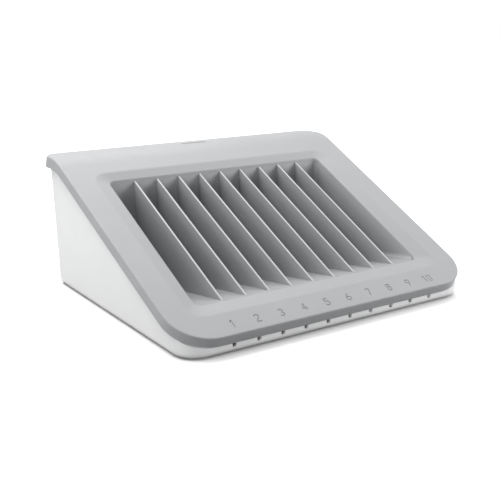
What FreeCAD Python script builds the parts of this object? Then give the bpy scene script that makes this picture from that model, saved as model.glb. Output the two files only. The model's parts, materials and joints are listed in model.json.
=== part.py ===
import FreeCAD, Part
import math
import os

Vector = FreeCAD.Vector
ACROSS = Vector(1, 0, 0)
BACK = Vector(0, 1, 0)
UP = Vector(0, 0, 1)

# All lengths are in millimetres. While a piece is built, y runs from the cover's front edge
# to the rear and z from the table up. The finished piece is moved to the middle of the depth.

# Slots and the plates between them
SLOT_COUNT = 10
SLOT_PITCH = 28.0
END_GAP = 4.5
DIVIDER_WALL = 2.4
DIVIDER_DROP = 2.6
DIVIDER_GAP = 0.15
DIVIDER_ROUND = 0.9
TAB_LENGTH = 12.0
TAB_GAP = 0.2
TAB_PLACE_SHARES = (0.35, 0.82)

# Cover: sloping deck, flat strip at the rear and a skirt all round
SIDE_BORDER = 44.7
COVER_DEPTH = 311.3
COVER_HEIGHT = 151.5
FRONT_HEIGHT = 21.4
TOP_STRIP = 37.4
ROLL_RADIUS = 68.0
FRONT_CORNER = 42.0
REAR_CORNER = 18.0
DECK_WALL = 2.8
SKIRT_WALL = 2.0
SKIRT_DROP = 12.8
EDGE_ROUND = 1.2

# Bevelled dish round the opening
FRONT_BORDER = 26.6
REAR_BORDER = 69.8
DISH_SIDE = 16.0
DISH_FRONT = 21.2
DISH_REAR = 8.5
DISH_FRONT_DEPTH = 6.9
DISH_REAR_DEPTH = 4.2
DISH_CORNER = 17.0
OPENING_CORNER = 7.0
DISH_ROUND = 8.0
OPENING_ROUND = 0.8
RIM_SEAT = 12.0

# Numbers engraved in front of the slots, and a plain finger dip on the rear strip
DIGIT_HEIGHT = 8.9
DIGIT_STROKE = 1.15
DIGIT_DEPTH = 0.7
DIGIT_SETBACK = 12.1
DIGIT_GAP = 2.1
DIP_LENGTH = 34.0
DIP_WIDTH = 6.0
DIP_DEPTH = 0.6

# Well that hangs below the opening
WELL_WALL = 2.4
WELL_SEAM = 0.15
WELL_LIFT = 4.6
WELL_BACK_LEAN = 4.0
WELL_ROUND = 5.0
FLANGE_WALL = 2.4
FLOOR_STEP = 0.4

# Self-tapping screws: the head size also sets the screws of the charger and the inlet
SCREW_RADIUS = 1.5
SCREW_HEAD_RADIUS = 2.8
SCREW_HEAD_HEIGHT = 2.0
SCREW_BITE = 3.0
SCREW_CROSS = 0.9
WELL_SCREWS_PER_SIDE = 4

# Base tub
OVERHANG = 5.5
REAR_OVERHANG = 5.0
FRONT_OVERHANG = 5.9
BASE_DRAFT = 1.5
BASE_WALL = 2.5
BASE_FRONT_WALL = 4.5
BASE_FLOOR = 2.5
BASE_ROUND = 5.5
BASE_FRONT_CORNER = 26.0
BASE_INNER_CORNER = 32.0
SKIRT_GAP = 0.5
BASE_REAR_CORNER = 9.0
RIM_GAP = 0.3
NOTCH_WIDTH = 4.6
NOTCH_SILL = 5.7
NOTCH_ROUND = 1.0
NOTCH_SHIFT = 1.8
COMB_SETBACK = 9.0
COMB_WALL = 2.4
COMB_HEIGHT = 8.0
VENT_WIDTH = 3.0
VENT_HEIGHT = 26.0
VENT_PITCH = 9.0
VENT_COUNT = 18

# Feet
FOOT_DROP = 1.0
FOOT_RADIUS = 9.0
FOOT_RECESS = 1.0
FOOT_INSET = 36.0
FOOT_ROUND = 0.5

# Hinge at the rear wall
HINGE_INSET = 69.0
HINGE_DROP = 8.0
HINGE_PIN_RADIUS = 1.5
HINGE_PLAY = 0.06
TONGUE_RADIUS = 3.5
TONGUE_WIDTH = 18.0
TONGUE_SIDE_GAP = 0.4
TONGUE_SWING_GAP = 1.8
BOSS_RADIUS = 4.0
BOSS_WIDTH = 8.0

# Charger in the bay behind the well
CHARGER_WIDTH = 204.0
CHARGER_DEPTH = 54.0
CHARGER_HEIGHT = 62.0
CHARGER_OFFSET = 40.0
CHARGER_LIFT = 5.0
CHARGER_WALL = 2.2
CHARGER_LID = 2.4
CHARGER_ROUND = 3.0
EAR_LENGTH = 13.0
EAR_WIDTH = 14.0
EAR_WALL = 3.0
EAR_SPREAD = 17.0
EAR_BOSS_RADIUS = 5.0
PORT_MARGIN = 12.0
PORT_LENGTH = 14.4
PORT_WIDTH = 7.0
PORT_HEIGHT = 17.0
PORT_PROUD = 0.4
PORT_WALL = 0.7
PORT_POCKET = 11.0
PORT_TONGUE = 2.0
PORT_GAP = 0.3
BOARD_WALL = 1.6
BOARD_GAP = 1.5
POST_RADIUS = 3.5
POST_INSET = 7.0
TRANSFORMER_SIZE = 34.0
TRANSFORMER_HEIGHT = 26.0
TRANSFORMER_OFFSET = 50.0
CAPACITOR_RADIUS = 8.0
CAPACITOR_HEIGHT = 24.0
CAPACITOR_PITCH = 20.0
CAPACITOR_COUNT = 3

# Mains inlet with its rocker switch, in the rear wall
INLET_OFFSET = 118.0
INLET_HEIGHT_ABOVE_FLOOR = 42.0
BEZEL_WIDTH = 34.0
BEZEL_HEIGHT = 56.0
BEZEL_WALL = 2.0
BEZEL_ROUND = 3.0
BEZEL_EAR = 8.0
HOUSING_WIDTH = 28.0
HOUSING_HEIGHT = 50.0
HOUSING_DEPTH = 24.0
HOUSING_GAP = 0.3
SOCKET_WIDTH = 24.4
SOCKET_HEIGHT = 16.4
SOCKET_DEPTH = 16.0
SOCKET_CHAMFER = 5.0
SOCKET_DROP = 12.0
BLADE_WIDTH = 2.0
BLADE_HEIGHT = 4.0
BLADE_LENGTH = 14.0
BLADE_SPREAD = 7.0
BLADE_RISE = 2.0
ROCKER_RISE = 13.0
ROCKER_WIDTH = 13.0
ROCKER_HALF = 8.4
ROCKER_REACH = 4.6
ROCKER_HOLLOW = 0.9
ROCKER_TAIL = 3.2
ROCKER_TAIL_HALF = 5.0
ROCKER_SINK = 3.8
ROCKER_TILT = 8.0
ROCKER_GAP = 0.4
ROCKER_END_GAP = 1.1
TRUNNION_RADIUS = 1.4
TRUNNION_REACH = 1.6
TRUNNION_PLAY = 0.05
POCKET_BACK = 5.5
LEAD_RADIUS = 3.2

# One overrun serves all cuts
OVERRUN = 4.0

# Strokes of the numerals on a line of height one, centred: straight strokes as two points,
# round strokes as centre, radius and the angles where they start and end
STRAIGHT_SHARES = {
    "0": ((-0.25, -0.25, -0.25, 0.25), (0.25, -0.25, 0.25, 0.25)),
    "1": ((0.04, -0.5, 0.04, 0.5), (0.04, 0.5, -0.18, 0.3)),
    "2": ((0.2165, 0.125, -0.25, -0.5), (-0.25, -0.5, 0.25, -0.5)),
    "3": (),
    "4": ((0.1, -0.5, 0.1, 0.5), (0.1, 0.5, -0.28, -0.2), (-0.28, -0.2, 0.28, -0.2)),
    "5": ((0.22, 0.5, -0.2, 0.5), (-0.2, 0.5, -0.2, 0.0236)),
    "6": ((-0.2425, -0.08, 0.08, 0.5),),
    "7": ((-0.25, 0.5, 0.25, 0.5), (0.25, 0.5, -0.08, -0.5)),
    "8": (),
    "9": ((0.2425, 0.08, -0.08, -0.5),),
}
ROUND_SHARES = {
    "0": ((0.0, 0.25, 0.25, 0, 180), (0.0, -0.25, 0.25, 180, 360)),
    "1": (),
    "2": ((0.0, 0.25, 0.25, -30, 165),),
    "3": ((0.0, 0.25, 0.25, -90, 150), (0.0, -0.25, 0.25, -150, 90)),
    "4": (),
    "5": ((0.0, -0.2, 0.3, -145, 131.8),),
    "6": ((0.0, -0.22, 0.28, 0, 360),),
    "7": (),
    "8": ((0.0, 0.26, 0.24, 0, 360), (0.0, -0.24, 0.26, 0, 360)),
    "9": ((0.0, 0.22, 0.28, 0, 360),),
}

# Worked out from the sizes above
well_half = SLOT_COUNT * SLOT_PITCH / 2 + END_GAP
cover_half = well_half + SIDE_BORDER
slope_run = COVER_DEPTH - TOP_STRIP
slope = (COVER_HEIGHT - FRONT_HEIGHT) / slope_run
deck_angle = math.atan(slope)
deck_drop = DECK_WALL / math.cos(deck_angle)
deck_up = Vector(0, -math.sin(deck_angle), math.cos(deck_angle))
deck_back = Vector(0, math.cos(deck_angle), math.sin(deck_angle))
cover_length = Vector(0, COVER_DEPTH, COVER_HEIGHT - FRONT_HEIGHT).dot(deck_back)
skirt_low = COVER_HEIGHT - SKIRT_DROP
base_bottom = FOOT_DROP
floor_top = FOOT_DROP + BASE_FLOOR
rear_face = COVER_DEPTH - REAR_OVERHANG
rear_inside = rear_face - BASE_WALL
draft_rate = math.tan(math.radians(BASE_DRAFT))
side_flare = (COVER_HEIGHT - FRONT_HEIGHT) * draft_rate
foremost = EDGE_ROUND * (math.cos(deck_angle) + math.sin(deck_angle) - 1)
rearmost = COVER_DEPTH + SKIRT_DROP * slope
middle_y = (foremost + rearmost) / 2
hinge_y = rear_face - BASE_WALL / 2
hinge_z = skirt_low - HINGE_DROP
hinge_x = cover_half - HINGE_INSET
charger_low = floor_top + CHARGER_LIFT
charger_top = charger_low + CHARGER_HEIGHT
charger_end = CHARGER_WIDTH / 2 - CHARGER_OFFSET
inlet_z = floor_top + INLET_HEIGHT_ABOVE_FLOOR
rocker_z = inlet_z + ROCKER_RISE
socket_z = inlet_z - SOCKET_DROP
bezel_face = rear_face + BEZEL_WALL
rocker_y = bezel_face - ROCKER_SINK
housing_back = rear_face - HOUSING_DEPTH


def deck_height(y):
    """Height of the sloping deck plane at a distance behind the front edge."""
    return FRONT_HEIGHT + slope * y


# Points of the dish in side view: outer edge on the deck, inner edge at the opening
dish_front = FRONT_BORDER
dish_rear = COVER_DEPTH - REAR_BORDER
open_front = dish_front + DISH_FRONT
open_rear = dish_rear - DISH_REAR
open_front_z = deck_height(open_front) - DISH_FRONT_DEPTH
open_rear_z = deck_height(open_rear) - DISH_REAR_DEPTH
open_slope = (open_rear_z - open_front_z) / (open_rear - open_front)
well_low = floor_top + WELL_LIFT + WELL_WALL
well_lean = math.tan(math.radians(WELL_BACK_LEAN))
well_back_top = open_rear + WELL_SEAM
well_back_low = well_back_top - (open_rear_z - well_low) * well_lean
well_front = open_front + WELL_SEAM
well_front_z = open_front_z - FLOOR_STEP
floor_fall = (well_front_z - well_low) / (well_back_low - well_front)


def opening_height(y):
    """Height of the plane through the opening's edge."""
    return open_front_z + open_slope * (y - open_front)


def well_floor(y):
    """Height of the well's floor, which falls towards the rear."""
    return well_front_z - floor_fall * (y - well_front)


def well_back(z):
    """Distance of the well's leaning back wall from the front edge at a height."""
    return well_back_low + (z - well_low) * well_lean


charger_y = (well_back(charger_top) + WELL_WALL + rear_inside) / 2
lead_y = charger_y - CHARGER_DEPTH / 4


def slot_places():
    """Middle of each slot across the cover."""
    return [(k - (SLOT_COUNT - 1) / 2) * SLOT_PITCH for k in range(SLOT_COUNT)]


def divider_places():
    """Middle of each plate between two slots."""
    return [(k - SLOT_COUNT / 2) * SLOT_PITCH for k in range(1, SLOT_COUNT)]


def closed_face(points):
    """Flat face with straight sides through the points."""
    return Part.Face(Part.makePolygon(points + [points[0]]))


def side_prism(points, half):
    """Prism across the part from an outline given in side view as y and z."""
    face = closed_face([Vector(-half, y, z) for y, z in points])
    return face.extrude(ACROSS * (2 * half))


def corner_arc(before, corner, after, radius):
    """Arc that rounds a corner between two neighbouring corners."""
    back = (before - corner).normalize()
    ahead = (after - corner).normalize()
    half_angle = back.getAngle(ahead) / 2
    reach = radius / math.tan(half_angle)
    tip = radius / math.sin(half_angle) - radius
    middle = corner + (back + ahead).normalize() * tip
    return Part.Arc(corner + back * reach, middle, corner + ahead * reach).toShape()


def rounded_loop(half, near, far, near_round, far_round, origin, along, taper=0):
    """Closed loop with four round corners on a plane across the part, each side tapered to the near end."""
    near_half = half - taper
    places = ((near_half, near), (half, far), (-half, far), (-near_half, near))
    spots = [origin + ACROSS * u + along * v for u, v in places]
    arcs = []
    for k, radius in enumerate((near_round, far_round, far_round, near_round)):
        arcs.append(corner_arc(spots[k - 1], spots[k], spots[(k + 1) % len(spots)], radius))
    edges = []
    for k, arc in enumerate(arcs):
        edges.append(arc)
        last = arc.valueAt(arc.LastParameter)
        after = arcs[(k + 1) % len(arcs)]
        edges.append(Part.LineSegment(last, after.valueAt(after.FirstParameter)).toShape())
    return Part.Wire(edges)


def plan_block(half, near, far, near_round, far_round, low, high):
    """Upright block with a rounded plan."""
    loop = rounded_loop(half, near, far, near_round, far_round, UP * low, BACK)
    return Part.Face(loop).extrude(UP * (high - low))


def cover_block(inset, over):
    """Block square to the deck inside the cover's outline, from a little over the deck to far below it."""
    loop = rounded_loop(cover_half - inset, inset, cover_length - inset, FRONT_CORNER - inset,
                        REAR_CORNER - inset, UP * FRONT_HEIGHT + deck_up * over, deck_back, side_flare)
    return Part.Face(loop).extrude(deck_up * -(over + COVER_HEIGHT))


def box(x0, x1, y0, y1, z0, z1):
    """Plain block between two corners."""
    return Part.makeBox(x1 - x0, y1 - y0, z1 - z0, Vector(x0, y0, z0))


def rod(radius, start, end):
    """Round bar between two points."""
    line = end - start
    return Part.makeCylinder(radius, line.Length, start, line)


def deck_line(drop):
    """Edges of the cover's side profile, lowered by a drop, from front to rear."""
    half_turn = math.tan(deck_angle / 2)
    tangent = ROLL_RADIUS * half_turn
    crest = COVER_HEIGHT - drop
    start = Vector(0, slope_run - tangent * math.cos(deck_angle), crest - tangent * math.sin(deck_angle))
    end = Vector(0, slope_run + tangent, crest)
    centre = Vector(0, end.y, crest - ROLL_RADIUS)
    middle = centre + Vector(0, -math.sin(deck_angle / 2), math.cos(deck_angle / 2)) * ROLL_RADIUS
    front = Vector(0, -OVERRUN, deck_height(-OVERRUN) - drop)
    rear = Vector(0, COVER_DEPTH + SKIRT_DROP + OVERRUN, crest)
    edges = [Part.LineSegment(front, start).toShape()]
    edges.append(Part.Arc(start, middle, end).toShape())
    edges.append(Part.LineSegment(end, rear).toShape())
    return front, rear, edges


def deck_band(upper_drop, lower_drop):
    """Slab across the part between two lowered copies of the cover's side profile."""
    top_front, top_rear, top = deck_line(upper_drop)
    low_front, low_rear, low = deck_line(lower_drop)
    ends = [Part.LineSegment(top_rear, low_rear).toShape(), Part.LineSegment(low_front, top_front).toShape()]
    face = Part.Face(Part.Wire(Part.__sortEdges__(top + low + ends)))
    half = cover_half + OVERRUN
    face.translate(ACROSS * -half)
    return face.extrude(ACROSS * (2 * half))


def dish_loop(step):
    """Outline of the dish: step 0 lies on the deck and step 1 at the opening's edge."""
    def mix(outer, inner):
        return outer + (inner - outer) * step

    front = Vector(0, mix(dish_front, open_front), mix(deck_height(dish_front), open_front_z))
    rear = Vector(0, mix(dish_rear, open_rear), mix(deck_height(dish_rear), open_rear_z))
    line = rear - front
    half = mix(well_half + DISH_SIDE, well_half)
    radius = mix(DISH_CORNER, OPENING_CORNER)
    return rounded_loop(half, 0, line.Length, radius, radius, front, line.normalize())


def dish_block():
    """Solid that sinks the dish into the deck, reaching a little above it."""
    lift = OVERRUN / (DISH_SIDE + DISH_FRONT)
    return Part.makeLoft([dish_loop(-lift), dish_loop(1)], True, True)


def rim_block(grow, upper, lower):
    """Slab parallel to the opening, wider than it all round, between two depths below its edge."""
    front = Vector(0, open_front, open_front_z)
    line = Vector(0, open_rear, open_rear_z) - front
    length = line.Length
    along = line.normalize()
    normal = ACROSS.cross(along)
    radius = OPENING_CORNER + grow
    loop = rounded_loop(well_half + grow, -grow, length + grow, radius, radius,
                        front - normal * lower, along)
    return Part.Face(loop).extrude(normal * (lower - upper))


def rim_spots():
    """Centres of the screws along both sides of the opening, on the plane of its edge."""
    front = Vector(0, open_front, open_front_z)
    line = Vector(0, open_rear, open_rear_z) - front
    side = well_half + (RIM_SEAT + WELL_WALL) / 2 + WELL_SEAM
    spots = []
    for k in range(WELL_SCREWS_PER_SIDE):
        share = (k + 1 / 2) / WELL_SCREWS_PER_SIDE
        for x in (-side, side):
            spots.append(front + line * share + ACROSS * x)
    return spots, ACROSS.cross(line.normalize())


def numeral_strokes(text, centre_u, centre_v):
    """Solids of one numeral's strokes on the deck plane before it is tilted."""
    solids = []
    reach = DIGIT_STROKE / 2
    deep = DIGIT_DEPTH + OVERRUN

    def spot(u, v):
        return Vector(centre_u + u * DIGIT_HEIGHT, centre_v + v * DIGIT_HEIGHT, -DIGIT_DEPTH)

    for x0, y0, x1, y1 in STRAIGHT_SHARES[text]:
        start = spot(x0, y0)
        line = spot(x1, y1) - start
        bar = Part.makeBox(line.Length, DIGIT_STROKE, deep, Vector(0, -reach, 0))
        bar.rotate(Vector(0, 0, 0), UP, math.degrees(math.atan2(line.y, line.x)))
        bar.translate(start)
        solids.append(bar)
        solids.append(Part.makeCylinder(reach, deep, start))
        solids.append(Part.makeCylinder(reach, deep, start + line))
    for x, y, radius, first, last in ROUND_SHARES[text]:
        middle = spot(x, y)
        size = radius * DIGIT_HEIGHT
        ring = Part.makeCylinder(size + reach, deep, middle, UP, last - first)
        core = Part.makeCylinder(size - reach, deep + OVERRUN, middle - UP * OVERRUN)
        ring = ring.cut(core)
        ring.rotate(middle, UP, first)
        solids.append(ring)
        for angle in (first, last):
            turn = math.radians(angle)
            end = middle + Vector(math.cos(turn), math.sin(turn), 0) * size
            solids.append(Part.makeCylinder(reach, deep, end))
    return solids


def engraved_numbers():
    """All slot numbers as one cutting solid on the deck."""
    along = DIGIT_SETBACK / math.cos(deck_angle)
    wide = DIGIT_HEIGHT / 2 + DIGIT_GAP
    solids = []
    for k, x in enumerate(slot_places()):
        text = str(k + 1)
        for n, letter in enumerate(text):
            shift = (n - (len(text) - 1) / 2) * wide
            solids += numeral_strokes(letter, x + shift, along)
    cutter = solids[0].multiFuse(solids[1:]).removeSplitter()
    cutter.rotate(Vector(0, 0, 0), ACROSS, math.degrees(deck_angle))
    cutter.translate(UP * FRONT_HEIGHT)
    return cutter


def top_edges(shape):
    """Edges where the cover's top meets its outer walls."""
    found = []
    for edge in shape.Edges:
        middle = edge.valueAt((edge.FirstParameter + edge.LastParameter) / 2)
        across_top = abs(middle.x) < EDGE_ROUND and EDGE_ROUND < middle.y < COVER_DEPTH - EDGE_ROUND
        low = min(deck_height(middle.y), COVER_HEIGHT) - SKIRT_DROP / 2
        upright = abs(edge.tangentAt(edge.FirstParameter).dot(deck_up)) > math.cos(deck_angle)
        if middle.z > low and not across_top and not upright:
            found.append(edge)
    return found


def loop_edges(shape, loop):
    """Edges of a shape that lie on a closed outline."""
    found = []
    for edge in shape.Edges:
        middle = Part.Vertex(edge.valueAt((edge.FirstParameter + edge.LastParameter) / 2))
        if loop.distToShape(middle)[0] < DIVIDER_GAP:
            found.append(edge)
    return found


def make_top_cover():
    """Deck with its skirt, bevelled dish, opening, numbers and the hinge tongues."""
    outer = cover_block(0, OVERRUN).common(deck_band(0, SKIRT_DROP)).removeSplitter()
    outer = outer.makeFillet(EDGE_ROUND, top_edges(outer))
    inside = cover_block(SKIRT_WALL, OVERRUN).common(deck_band(deck_drop, SKIRT_DROP + OVERRUN))
    cover = outer.cut(inside)
    spots, rim_normal = rim_spots()
    dish = dish_block()
    pad = dish.copy()
    pad.translate(rim_normal * -DECK_WALL)
    seat = rim_block(RIM_SEAT, 0, DECK_WALL)
    cover = cover.fuse([pad, seat])
    opening = Part.Face(dish_loop(1)).extrude(UP * -COVER_HEIGHT)
    cover = cover.cut(dish.fuse(opening).removeSplitter()).removeSplitter()
    cover = cover.makeFillet(DISH_ROUND, loop_edges(cover, dish_loop(0)))
    cover = cover.makeFillet(OPENING_ROUND, loop_edges(cover, dish_loop(1)))
    cover = cover.fuse([hinge_tongue(side) for side in (-1, 1)])
    deep = rim_normal * (DECK_WALL + OVERRUN)
    bite = rim_normal * (SCREW_BITE - DECK_WALL)
    holes = [rod(SCREW_RADIUS, spot - deep, spot + bite) for spot in spots]
    dip_y = COVER_DEPTH - TOP_STRIP / 2
    dip = plan_block(DIP_LENGTH / 2, dip_y - DIP_WIDTH / 2, dip_y + DIP_WIDTH / 2, DIP_WIDTH / 2 - DIP_DEPTH,
                     DIP_WIDTH / 2 - DIP_DEPTH, COVER_HEIGHT - DIP_DEPTH, COVER_HEIGHT + OVERRUN)
    return cover.cut(holes + [dip, engraved_numbers()]).removeSplitter()


def hinge_tongue(side):
    """Tongue that hangs from the cover's rear strip and turns on the hinge pin."""
    start = side * hinge_x - TONGUE_WIDTH / 2
    end = start + TONGUE_WIDTH
    barrel = rod(TONGUE_RADIUS, Vector(start, hinge_y, hinge_z), Vector(end, hinge_y, hinge_z))
    web = box(start, end, hinge_y - TONGUE_RADIUS, hinge_y + TONGUE_RADIUS, hinge_z,
              COVER_HEIGHT - DECK_WALL / 2)
    reach = Vector(OVERRUN, 0, 0)
    bore = rod(HINGE_PIN_RADIUS + HINGE_PLAY, Vector(start, hinge_y, hinge_z) - reach,
               Vector(end, hinge_y, hinge_z) + reach)
    return barrel.fuse(web).cut(bore)


def make_slot_well():
    """Tub below the opening with a flange under the cover and slots for the plates' tabs."""
    inner_half = well_half + WELL_SEAM
    far = COVER_HEIGHT + OVERRUN
    start = well_front - OVERRUN
    hollow = side_prism([(start, well_floor(start)), (well_back_low, well_low),
                         (well_back(far), far), (start, far)], inner_half)
    hollow = hollow.makeFillet(WELL_ROUND, tub_edges(hollow, inner_half))
    drop = WELL_WALL * math.sqrt(1 + floor_fall * floor_fall)
    back = WELL_WALL * math.sqrt(1 + well_lean * well_lean)
    low = well_low - drop
    outer_half = inner_half + WELL_WALL
    outer = side_prism([(start, well_floor(start) - drop), (well_back(low) + back, low),
                        (well_back(far) + back, far), (start, far)], outer_half)
    outer = outer.makeFillet(WELL_ROUND + WELL_WALL, tub_edges(outer, outer_half))
    seat = DECK_WALL
    below = rim_block(cover_half, seat, COVER_DEPTH)
    flange = rim_block(RIM_SEAT, seat, seat + FLANGE_WALL)
    front = box(-cover_half, cover_half, -OVERRUN, well_front, 0, far)
    walls = outer.common(below).cut(front)
    plug_end = well_front + RIM_SEAT
    plug_half = well_half - WELL_SEAM
    plug = side_prism([(well_front, well_front_z), (plug_end, well_floor(plug_end)),
                       (plug_end, well_floor(plug_end) - drop), (well_front, well_front_z - drop)],
                      plug_half)
    corner = OPENING_CORNER - WELL_SEAM
    plug = plug.common(plan_block(plug_half, well_front, plug_end + corner, corner, corner, 0, COVER_HEIGHT))
    tub = walls.fuse(flange).cut(hollow).fuse(plug)
    spots, rim_normal = rim_spots()
    holes = [rod(SCREW_RADIUS, s - rim_normal * RIM_SEAT, s) for s in spots]
    slots = [tab for x in divider_places() for tab in divider_tabs(x, TAB_GAP, WELL_WALL + OVERRUN)]
    return tub.cut(holes + slots).removeSplitter()


def tub_edges(shape, half):
    """Edges of the tub between its floor, its sides and its back."""
    found = []
    for edge in shape.Edges:
        middle = edge.valueAt((edge.FirstParameter + edge.LastParameter) / 2)
        tangent = edge.tangentAt(edge.FirstParameter)
        at_side = abs(abs(middle.x) - half) < WELL_SEAM
        at_floor = middle.z < well_floor(middle.y) + WELL_SEAM and abs(tangent.y) > math.cos(deck_angle)
        at_back = middle.y > well_back(middle.z) - WELL_SEAM
        low_cross = abs(tangent.x) > math.cos(deck_angle) and middle.z < well_low + WELL_SEAM
        if (at_side and (at_floor or at_back) and abs(tangent.x) < math.cos(deck_angle)) or low_cross:
            if not (at_side and middle.z > COVER_HEIGHT):
                found.append(edge)
    return found


def divider_line():
    """Places on a plate in side view: tip, top at the back, and both ends of its cut corner."""
    reach = (FLOOR_STEP - DIVIDER_DROP) / (-floor_fall - open_slope)
    tip_y = well_front + reach
    top_y = well_back(opening_height(well_back_top) - DIVIDER_DROP) - DIVIDER_GAP
    clear = WELL_ROUND * math.tan(math.radians(45) + math.atan(floor_fall) / 2) + DIVIDER_GAP
    low_z = well_low + clear
    foot_y = well_back_low - DIVIDER_GAP - clear
    return tip_y, top_y, low_z, foot_y


def divider_tabs(x, gap, depth):
    """Tabs below a plate, grown by a gap, that pass through the well's floor."""
    tip_y, _, _, foot_y = divider_line()
    half = DIVIDER_WALL / 2 + gap
    tabs = []
    for share in TAB_PLACE_SHARES:
        middle = tip_y + (foot_y - tip_y) * share
        start = middle - TAB_LENGTH / 2 - gap
        end = middle + TAB_LENGTH / 2 + gap
        tab = side_prism([(start, well_floor(start)), (end, well_floor(end)),
                          (end, well_floor(end) - depth), (start, well_floor(start) - depth)], half)
        tab.translate(ACROSS * x)
        tabs.append(tab)
    return tabs


def make_divider(x):
    """Three-sided plate between two slots, with a rounded upper edge and two tabs."""
    tip_y, top_y, low_z, foot_y = divider_line()
    plate = side_prism([(tip_y, well_floor(tip_y)), (top_y, opening_height(top_y) - DIVIDER_DROP),
                        (well_back(low_z) - DIVIDER_GAP, low_z), (foot_y, well_floor(foot_y))],
                       DIVIDER_WALL / 2)
    crest = []
    for edge in plate.Edges:
        middle = edge.valueAt((edge.FirstParameter + edge.LastParameter) / 2)
        along = abs(edge.tangentAt(edge.FirstParameter).x) < math.cos(deck_angle)
        if along and abs(middle.z - opening_height(middle.y) + DIVIDER_DROP) < DIVIDER_GAP:
            crest.append(edge)
    plate = plate.makeFillet(DIVIDER_ROUND, crest)
    plate.translate(ACROSS * x)
    return plate.fuse(divider_tabs(x, 0, WELL_WALL)).removeSplitter()


def pan_screw(seat, axis, length):
    """Screw with a round head on its seat, a shank along the axis and a cross recess."""
    head = rod(SCREW_HEAD_RADIUS, seat, seat - axis * SCREW_HEAD_HEIGHT)
    head = head.makeFillet(SCREW_HEAD_HEIGHT / 3, [e for e in head.Edges if head_rim(e, seat, axis)])
    shank = rod(SCREW_RADIUS, seat, seat + axis * length)
    screw = head.fuse(shank)
    side = axis.cross(ACROSS)
    reach = SCREW_HEAD_RADIUS * 2 / 3
    for line in (side, axis.cross(side)):
        bar = Part.makeBox(2 * reach, SCREW_CROSS, SCREW_HEAD_HEIGHT, Vector(-reach, -SCREW_CROSS / 2, 0))
        turn = FreeCAD.Rotation(line, axis.cross(line), axis, "ZXY")
        bar.Placement = FreeCAD.Placement(seat - axis * (SCREW_HEAD_HEIGHT * 3 / 2), turn)
        screw = screw.cut(bar)
    return screw.removeSplitter()


def head_rim(edge, seat, axis):
    """True for the outer rim of a screw head, away from its seat."""
    middle = edge.valueAt(edge.FirstParameter) - seat
    return abs(middle.dot(axis) + SCREW_HEAD_HEIGHT) < SCREW_HEAD_HEIGHT / 4 and len(edge.Vertexes) == 1


def make_well_screws():
    """Screws that hold the well's flange under the cover."""
    spots, normal = rim_spots()
    seat = DECK_WALL + FLANGE_WALL
    return [pan_screw(spot - normal * seat, normal, SCREW_BITE + FLANGE_WALL) for spot in spots]


def base_loop(inset, front_inset, corner, z):
    """Outline of the base at a height, moved in from its outer face, with its own front corners."""
    rise = (z - base_bottom) * draft_rate
    near = FRONT_OVERHANG + (FRONT_HEIGHT - SKIRT_DROP - base_bottom) * draft_rate - rise + front_inset
    return rounded_loop(base_half(z) - inset, near, rear_face - inset, corner + rise,
                        BASE_REAR_CORNER - inset, UP * z, BACK)


def base_half(z):
    """Half the base's outer width at a height."""
    return cover_half - OVERHANG - (skirt_low - z) * draft_rate


def low_edges(shape, z):
    """Edges of a lofted block that lie in its lowest plane."""
    return [e for e in shape.Edges if all(abs(v.Z - z) < RIM_GAP for v in e.Vertexes)]


def make_base_shell():
    """Wedge-shaped tub with cable notches, bosses, vents and the rear cut-outs."""
    high = COVER_HEIGHT + OVERRUN
    loops = [base_loop(0, 0, BASE_FRONT_CORNER, z) for z in (base_bottom, high)]
    outer = Part.makeLoft(loops, True, True)
    outer = outer.makeFillet(BASE_ROUND, low_edges(outer, base_bottom))
    levels = (floor_top, high + OVERRUN)
    loops = [base_loop(BASE_WALL, BASE_FRONT_WALL, BASE_INNER_CORNER, z) for z in levels]
    inner = Part.makeLoft(loops, True, True)
    inner = inner.makeFillet(BASE_ROUND - BASE_WALL, low_edges(inner, floor_top))
    shell = outer.cut(inner).common(deck_band(deck_drop + RIM_GAP, COVER_HEIGHT + COVER_DEPTH))
    shell = shell.cut([skirt_room()] + [tongue_notch(side) for side in (-1, 1)])
    added = [cable_comb()] + charger_bosses()
    for side in (-1, 1):
        added += hinge_bosses(side)
    shell = shell.fuse(added)
    cuts = cable_notches() + vents() + foot_recesses() + charger_pilots()
    for side in (-1, 1):
        cuts.append(hinge_bore(side))
    cuts += inlet_cuts()
    return shell.cut(cuts).removeSplitter()


def skirt_room():
    """Room for the cover's skirt, which sets the base's rim back where it stands out."""
    reach = cover_half + OVERRUN
    around = box(-reach, reach, -OVERRUN, COVER_DEPTH + SKIRT_DROP + OVERRUN, 0, COVER_HEIGHT + OVERRUN)
    rim = cover_block(SKIRT_WALL + SKIRT_GAP, COVER_HEIGHT)
    return around.cut(rim).common(deck_band(-OVERRUN, SKIRT_DROP + SKIRT_GAP))


def tongue_notch(side):
    """Open notch in the rear wall where a hinge tongue hangs and swings."""
    half = TONGUE_WIDTH / 2 + TONGUE_SIDE_GAP
    middle = side * hinge_x
    return box(middle - half, middle + half, rear_inside - BOSS_RADIUS, rear_face + BOSS_RADIUS,
               hinge_z - TONGUE_RADIUS - TONGUE_SWING_GAP, COVER_HEIGHT + OVERRUN)


def hinge_bosses(side):
    """Round bosses on both sides of a tongue that carry the pin."""
    bosses = []
    for way in (-1, 1):
        near = side * hinge_x + way * (TONGUE_WIDTH / 2 + TONGUE_SIDE_GAP)
        far = near + way * BOSS_WIDTH
        bosses.append(rod(BOSS_RADIUS, Vector(near, hinge_y, hinge_z), Vector(far, hinge_y, hinge_z)))
    return bosses


def hinge_bore(side):
    """Bore for the pin through both bosses."""
    half = TONGUE_WIDTH / 2 + TONGUE_SIDE_GAP + BOSS_WIDTH
    return rod(HINGE_PIN_RADIUS, Vector(side * hinge_x - half, hinge_y, hinge_z),
               Vector(side * hinge_x + half, hinge_y, hinge_z))


def make_hinge_pins():
    """One pin for each hinge tongue, held in its bosses."""
    return [hinge_bore(side) for side in (-1, 1)]


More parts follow.
